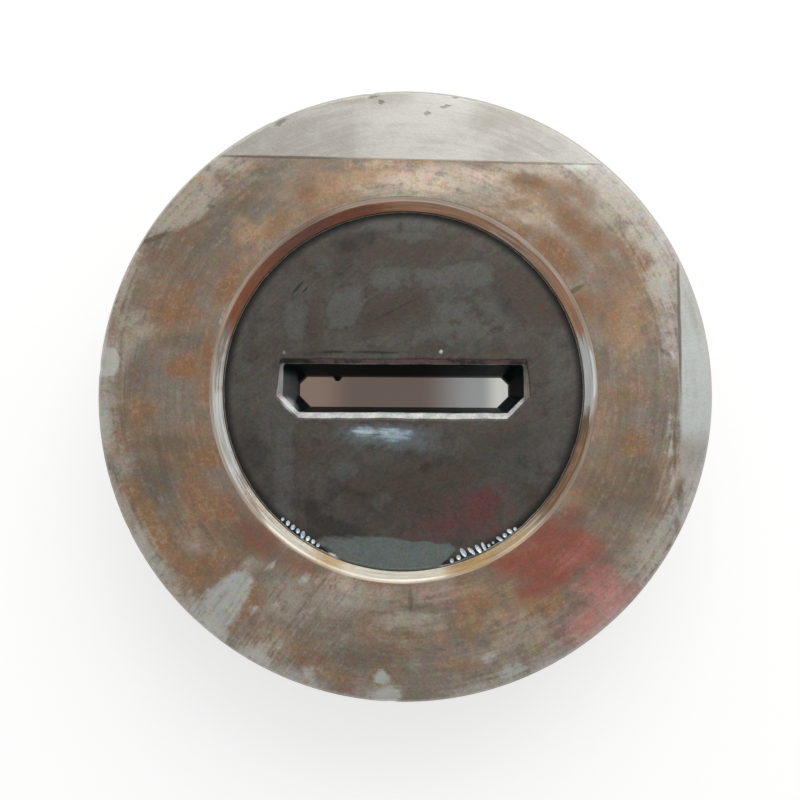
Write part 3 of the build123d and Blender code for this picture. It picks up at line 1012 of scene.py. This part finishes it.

# Bright flecks: chips in the face, a painted glint by the near edge and a painted reflection on the mouth's
# lower left corner; and dark strokes by the mouth and the pools
chips_and_glints_seen = [
    (14.2, 13.6, 0.6, 0.6, 0, 0.5), (-44.6, 13.0, 0.5, 0.6, 0, 0.2), (-24.7, -62.6, 1.9, 0.7, -36, 1.0),
    (-42.4, -6.4, 3.2, 1.5, -48, 0.6),
]
strokes_seen = [
    (-39.9, 37.9, 3.4, 0.5, 50, 0.8), (-37.1, 37.1, 1.6, 0.4, 45, 0.7), (-25.6, 13.4, 4.4, 0.5, 0, 0.8),
    (-9.8, 13.3, 9, 0.5, 0, 0.7), (-3, 29.5, 9, 0.4, 28, 0.35), (-22, 44.5, 4, 0.5, 40, 0.4),
]

CARBIDE = paint(80, 74, 69)
CARBIDE_GREEN = paint(88, 89, 84)
CARBIDE_POOL = paint(88, 89, 86)
CARBIDE_BROWN = paint(72, 63, 56)
CARBIDE_SOOT = paint(38, 39, 38)
CARBIDE_RED = paint(98, 54, 54)
# The lighter tone of the painted reflection on the strip by the near edge
CARBIDE_STRIP_REFLECTION = paint(104, 112, 110)
# Pale tones for the painted light on the nib's edge chamfer
CARBIDE_CHAMFER_LIT = paint(168, 158, 146)
CARBIDE_CHAMFER_NEAR_LIT = paint(220, 222, 214)
# Blue greys for the painted glare below the mouth, also used on the nicks
CARBIDE_GLARE_HAZE = paint(104, 116, 122)
CARBIDE_GLARE_BLUE = paint(178, 196, 208)
# The bevel round the mouth: painted lit on the near side, mid tones at the ends, painted shade on the far
# side
CARBIDE_BEVEL_LIT = paint(240, 240, 238)
CARBIDE_BEVEL_LEFT = paint(166, 162, 158)
CARBIDE_BEVEL_RIGHT = paint(150, 140, 126)
CARBIDE_BEVEL_SHADED = paint(128, 104, 100)
# A near black for the painted shade along the face's edge
CARBIDE_EDGE_SHADE = paint(16, 22, 24)
# Throat walls: a near black for painted shade, and a pale grey for a painted reflection on the left end
THROAT_WALL_SHADE = paint(22, 37, 39)
THROAT_WALL_REFLECTION = paint(100, 104, 106)
# Near white for painted glints, on the nicks and a few flecks
CARBIDE_GLINT_WHITE = paint(236, 240, 242)


def carbide_material():
    """Sintered carbide: near black, with an oily film that has dried in pale pools with dark edges,
    lapped walls in the throat in painted shade, and a bevel round the mouth in painted light and shade.
    The face also carries painted shade, light, reflections and glints."""
    material, shader, place = new_material("oily_carbide")
    mottle = cloud(place, 6 * MM, 44, 6.0, 0.68)
    wiping = streaks(place, 26, 1.6, 40, 46, 4.0)
    tear = mottle * 0.75 + wiping * 0.25
    x, y, z = x_y_z(place)

    ragged = wander(place, 14 * MM, 16 * MM, 41)
    colour = laid_over(ease(cloud(ragged, 20 * MM, 43), 0.4, 0.62) * 0.4, CARBIDE, CARBIDE_GREEN)
    colour = laid_over(ease(cloud(ragged, 15 * MM, 47), 0.46, 0.62) * 0.5, colour, CARBIDE_BROWN)
    colour = laid_over(ease(mottle, 0.5, 0.36) * 0.3, colour, CARBIDE_SOOT)
    colour = laid_over(ease(wiping, 0.52, 0.66) * between(ease(y, -25 * MM, 5 * MM), 0.2, 0.4), colour,
                       CARBIDE_GREEN)
    colour = laid_over(torn(stored(place, "green"), tear, 0.45) * 0.6, colour, CARBIDE_GREEN)
    for name, over in (("brown", CARBIDE_BROWN), ("pool", CARBIDE_POOL)):
        depth_in_pool = stored(place, name) + (tear - 0.5) * 1.6
        colour = laid_over(ease(depth_in_pool, 0.1, 0.9) * 0.7, colour, over)
        dried_edge = ease(depth_in_pool.maths("ABSOLUTE", depth_in_pool - 0.3), 0.2, 0.0)
        colour = laid_over(dried_edge * 0.16 * ease(stored(place, name), 0.0, 0.1), colour, CARBIDE_SOOT)
    colour = laid_over(torn(stored(place, "red_oil"), tear, 0.5, 2.6) * 0.75, colour, CARBIDE_RED)
    soot = torn(stored(place, "soot"), tear, 0.5, 3.0)
    colour = laid_over(soot * 0.6, colour, CARBIDE_SOOT)
    strokes = marks(wander(place, 0.8 * MM, 3 * MM, 52), strokes_seen, 0.4)
    colour = laid_over(strokes, colour, CARBIDE_SOOT)
    face = ease(z, nib_face_z - 0.5 * MM, nib_face_z - 0.3 * MM)
    # Painted reflection: a lighter strip along the near edge
    painted_strip_reflection = ease(stored(place, "painted_strip_reflection") + (tear - 0.5) * 0.3, 0.3, 0.7)
    radius = radius_of(place)
    # Painted shade: the face darkens over its last few millimetres by the cone, all round
    painted_edge_shade = ease(radius, nib_radius - 4.3 * MM, nib_radius - 0.9 * MM)
    colour = laid_over(painted_edge_shade * 0.86, colour, CARBIDE_EDGE_SHADE)
    # Painted light on the edge chamfer, so that the groove by the cone shows no shade, lightest on the near
    # side
    chamfer = ease(radius + (tear - 0.5) * 0.001, nib_radius - 0.8 * MM, nib_radius - 0.5 * MM)
    chamfer = chamfer * ease(z, nib_face_z - 1.4 * MM, nib_face_z - 1.0 * MM)
    chamfer_painted_light = laid_over(ease(y, -40 * MM, -58 * MM), CARBIDE_CHAMFER_LIT, CARBIDE_CHAMFER_NEAR_LIT)
    colour = laid_over(chamfer * 0.85, colour, chamfer_painted_light)
    colour = laid_over(painted_strip_reflection * (1.0 - soot * 0.7) * 0.88, colour, CARBIDE_STRIP_REFLECTION)
    # Painted reflection: a bluish glare on the face below the mouth, and a smaller one by the near edge
    painted_glare_haze = torn(stored(place, "painted_glare_haze"), tear)
    colour = laid_over(painted_glare_haze * 0.6, colour, CARBIDE_GLARE_HAZE)
    painted_glare_core = torn(stored(place, "painted_glare_core"), mottle * 0.5 + streaks(place, 5, 0.9, -4, 48) * 0.5)
    colour = laid_over(painted_glare_core * 0.8, colour, CARBIDE_GLARE_BLUE)

    # Painted shade in the throat: its walls near black, with a painted reflection on the left end wall
    throat = ease(radius, nib_radius - 4 * MM, nib_radius - 8 * MM) * (1 - face)
    bevel = throat * ease(z, approach_top_z - 0.2 * MM, approach_top_z + 0.3 * MM)
    half_land = land_shape[0] * MM
    end_wall_reflection = ease(x, 0.4 * MM - half_land, -0.6 * MM - half_land) * ease(y, 7.5 * MM, 4 * MM)
    walls = laid_over(end_wall_reflection * 0.9, THROAT_WALL_SHADE, THROAT_WALL_REFLECTION)
    colour = laid_over(throat, colour, walls)
    # Painted light and shade on the bevel round the mouth: near white on the near side, grey and beige at
    # the ends, darker on the far side and near black at its left end
    half_mouth = mouth_shape[0] * MM
    left_end = ease(x, 2.3 * MM - half_mouth, 0.3 * MM - half_mouth) * ease(y, -6 * MM, -2 * MM)
    right_end = ease(x, half_mouth - 2.3 * MM, half_mouth - 0.3 * MM)
    dressed = laid_over(left_end, CARBIDE_BEVEL_LIT, CARBIDE_BEVEL_LEFT)
    dressed = laid_over(right_end, dressed, CARBIDE_BEVEL_RIGHT)
    dark_end = ease(x + (mottle - 0.5) * 0.03, -28 * MM, -38 * MM)
    far_bevel_shade = laid_over(dark_end.maths("MAXIMUM", dark_end, ease(mottle, 0.5, 0.42) * 0.6),
                         CARBIDE_BEVEL_SHADED, CARBIDE_SOOT)
    far_side = approach_shape[2] * MM
    dressed = laid_over(ease(y, far_side - 0.8 * MM, far_side + 0.6 * MM), dressed, far_bevel_shade)
    colour = laid_over(bevel * between(ease(mottle, 0.3, 0.7), 0.6, 1.0), colour, dressed)
    back = ease(z, shoulder_z + 4 * MM, shoulder_z + 3 * MM)
    colour = laid_over(back * 0.8, colour, laid_over(ease(mottle, 0.42, 0.6) * 0.5, CARBIDE, CARBIDE_BROWN))
    # Bright flecks: chips, a painted glint and a painted reflection
    chips_and_glints = marks(wander(place, 0.6 * MM, 1 * MM, 49), chips_and_glints_seen, 0.7) * (1 - back)
    colour = laid_over(chips_and_glints, colour, CARBIDE_GLINT_WHITE)
    colour = tinted(colour, cloud(place, 3 * MM, 50, 4.0, output=1), 0.4)
    grain = cloud(place, 0.9 * MM, 45, 3.0, 0.65)
    colour = toned(colour, between(ease(grain, 0.3, 0.7), 0.86, 1.14))
    metallic = 0.75 - 0.5 * bevel - 0.3 * chips_and_glints - 0.4 * end_wall_reflection * throat - 0.5 * chamfer
    rough_face = 0.44 + 0.14 * (mottle - 0.5) + 0.12 * (grain - 0.5) - 0.08 * painted_strip_reflection + 0.1 * painted_edge_shade
    roughness = rough_face - 0.08 * bevel
    height = grain * (1.0 - 0.6 * bevel) + 0.3 * wiping + 1.5 * chips_and_glints
    finish_shader(shader, colour, metallic, roughness, height, 0.05 * MM)
    return material


def nick_glint_material():
    """Carbide in the nicks, coarse as broken grain is, painted near white and blue grey as a painted glint.
    """
    material, shader, place = new_material("nick_glint_carbide")
    grain = cloud(place, 0.4 * MM, 51, 3.0, 0.7)
    rounded = cloud(place, 2.2 * MM, 53, 2.0)
    colour = laid_over(ease(rounded, 0.36, 0.62), CARBIDE_GLINT_WHITE, CARBIDE_GLARE_BLUE)
    colour = toned(colour, between(ease(grain, 0.35, 0.65), 0.8, 1.1))
    metallic = 0.8 + 0.1 * grain
    roughness = 0.25 + 0.2 * grain
    finish_shader(shader, colour, metallic, roughness, grain, 0.05 * MM)
    return material


def nicks_tree():
    """Cuts a nick into a piece at each point of another mesh, whose points keep its size and turn."""
    given = new_geometry_tree("nicks", [
        ("Nick Points", "NodeSocketObject"),
        ("Nick Depth", "NodeSocketFloat", 0.5 * MM),
        ("Nick Finish", "NodeSocketMaterial"),
    ])
    points = given.node("GeometryNodeObjectInfo", None, {0: given.beside("Nick Points")}, "Geometry")
    cutter = given.node("GeometryNodeMeshUVSphere", None, {"Segments": 14, "Rings": 8, "Radius": 1.0})
    turn = given.node("FunctionNodeEulerToRotation", None, {
        0: given.node("ShaderNodeCombineXYZ", None, {"Z": of_points(given, "heading")})
    })
    size = given.node("ShaderNodeCombineXYZ", None, {
        "X": of_points(given, "length") * 0.5,
        "Y": of_points(given, "width") * 0.5,
        "Z": given.beside("Nick Depth"),
    })
    cutters = given.node("GeometryNodeInstanceOnPoints", None, {
        "Points": points, "Instance": cutter, "Rotation": turn, "Scale": size,
    })
    real = given.node("GeometryNodeRealizeInstances", None, {"Geometry": cutters})
    bright = finished_with(real, given.beside("Nick Finish"))
    cut = given.node(
        "GeometryNodeMeshBoolean", {"operation": "DIFFERENCE", "solver": "EXACT"},
        {"Mesh 1": given, "Mesh 2": bright},
    )
    crisp = given.node("GeometryNodeSetShadeSmooth", {"domain": "EDGE"}, {
        "Geometry": cut, "Selection": cut.beside("Intersecting Edges"), "Shade Smooth": False,
    })
    return end_tree(crisp, "heading", "length", "width")


nib_mesh.materials.append(carbide_material())
# Two rows of nicks by the near edge, where they were seen: angle in degrees, radius, length and width
# in millimetres, and slant off the outward direction in degrees
nicks_seen = [
    (228.2, 65.7, 1.4, 1.2, 10), (230.3, 65.5, 2.0, 1.6, 30), (232.4, 65.5, 2.0, 1.7, 10),
    (234.4, 65.4, 1.9, 1.6, 40), (236.4, 65.5, 2.8, 1.8, 24), (238.45, 65.6, 2.0, 1.7, 0),
    (240.4, 65.6, 1.8, 1.6, 30), (242.3, 65.8, 1.6, 1.4, 10), (286.3, 66.0, 1.8, 1.6, 0),
    (288.6, 65.6, 2.0, 1.7, 10), (290.6, 64.5, 3.8, 1.8, 14), (293.2, 65.1, 3.8, 1.5, 26),
    (295.5, 65.4, 3.9, 1.6, 12), (297.4, 65.6, 3.7, 1.4, 0), (299.0, 66.0, 1.4, 1.2, 0),
    (300.6, 65.9, 1.2, 1.0, 20), (303.0, 66.0, 3.0, 1.4, 30), (305.0, 65.9, 1.9, 1.7, 0),
    (307.0, 65.8, 2.3, 1.6, 20), (308.8, 66.3, 1.5, 1.3, 0),
]
nick_places = [(angle, radius * MM, nib_face_z) for angle, radius, _, _, _ in nicks_seen]
nick_object = marked_points("nick_points", nick_places, {
    "heading": [math.radians(angle + slant) for angle, _, _, _, slant in nicks_seen],
    "length": [length * MM for _, _, length, _, _ in nicks_seen],
    "width": [width * MM for _, _, _, width, _ in nicks_seen],
})
# The nicks take a near white finish, a painted glint
nib = made_by_tree(nib_blank, nicks_tree(), {
    "Nick Points": nick_object, "Nick Finish": nick_glint_material(),
}, "finished_nib")
bpy.data.objects.remove(nick_object)
store_stains(nib.data, in_oval, nib_ovals)
store_stains(nib.data, in_outline, nib_outlines)
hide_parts("nib")
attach(nib, "root")

# Bench and light: a plain white bench, one big soft light beyond the far side and a little to the right,
# and a pale room that lights the die most from that side and is white to the eye. The bench under the
# throat lies in shade.
half_bench = 5.0
bench_z = -0.2 * MM
bench_mesh = bpy.data.meshes.new("bench")
bench_mesh.from_pydata(
    [(x * half_bench, y * half_bench, bench_z) for x, y in ((-1, -1), (1, -1), (1, 1), (-1, 1))],
    [], [(0, 1, 2, 3)],
)
bench = linked("bench", bench_mesh)

BENCH_WHITE = (0.6, 0.6, 0.6, 1.0)
BENCH_LIFT = (0.54, 0.54, 0.54, 1.0)
SHADE = paint(98, 87, 81)
# Other tones of the shade towards its ends: where each starts and is full across the bench, in
# millimetres
shade_tones = [
    (-22, -40, paint(126, 109, 98)), (6, 32, paint(140, 142, 141)), (33, 42, paint(190, 190, 186)),
]


def seen_rays(wire):
    """1 for rays from the eye, straight, mirrored or through glass, and 0 for those that carry light."""
    rays = wire.node("ShaderNodeLightPath", output="Is Camera Ray")
    glossy = rays.maths("MAXIMUM", rays, rays.beside("Is Glossy Ray"))
    return rays.maths("MAXIMUM", glossy, rays.beside("Is Transmission Ray"))


def bench_material():
    """White card, lifted to white for the eye, with its shadows kept, and shade under the throat."""
    material = bpy.data.materials.new("white_card")
    material.use_nodes = True
    tree = material.node_tree
    tree.nodes.clear()
    place = Wire(tree).node("ShaderNodeTexCoord", output="Object")
    open_bench = ease(radius_of(place), nib_radius - 7.5 * MM, casing_radius - 12.5 * MM)
    x = x_y_z(place)[0]
    shade = SHADE
    for start, full, tone in shade_tones:
        shade = laid_over(ease(x, start * MM, full * MM), shade, tone)
    body = place.node("ShaderNodeBsdfDiffuse", None, {"Color": laid_over(open_bench, shade, BENCH_WHITE)})
    lift = place.node("ShaderNodeEmission", None, {
        "Color": laid_over(open_bench, shade, BENCH_LIFT), "Strength": seen_rays(place),
    })
    both = place.node("ShaderNodeAddShader", None, {0: body, 1: lift})
    tree.links.new(both.socket, tree.nodes.new("ShaderNodeOutputMaterial").inputs["Surface"])
    return material


bench_mesh.materials.append(bench_material())

room_level = 0.75
near_side_level = 0.62
world = bpy.data.worlds.new("pale_room")
bpy.context.scene.world = world
world.use_nodes = True
world.node_tree.nodes.clear()
room = Wire(world.node_tree)
looking = room.node("ShaderNodeTexCoord", output="Generated")
towards_light = looking.vector("DOT_PRODUCT", looking, (0.3, 0.95, 0.0), output=1)
room_brightness = between(ease(towards_light, -0.5, 0.5), near_side_level, 1.0)
room_brightness = room_brightness * between(seen_rays(room), room_level, 1.0)
camera_ray = room.node("ShaderNodeLightPath", output="Is Camera Ray")
background = room.node("ShaderNodeBackground", None, {
    "Color": (1.0, 1.0, 1.0, 1.0),
    "Strength": room.maths("MAXIMUM", room_brightness, camera_ray),
})
world.node_tree.links.new(
    background.socket, world.node_tree.nodes.new("ShaderNodeOutputWorld").inputs["Surface"]
)

lamp_data = bpy.data.lights.new("big_soft_light", "AREA")
lamp_data.shape = "RECTANGLE"
lamp_data.size = 0.8
lamp_data.size_y = 0.6
lamp_data.energy = 3.2
lamp_data.color = (1.0, 0.99, 0.97)
lamp = linked("big_soft_light", lamp_data)
lamp.location = (0.18, 0.62, 0.72)
lamp.rotation_euler = (Vector((0.0, 0.0, 0.05)) - lamp.location).to_track_quat("-Z", "Y").to_euler()
lamp.visible_camera = False
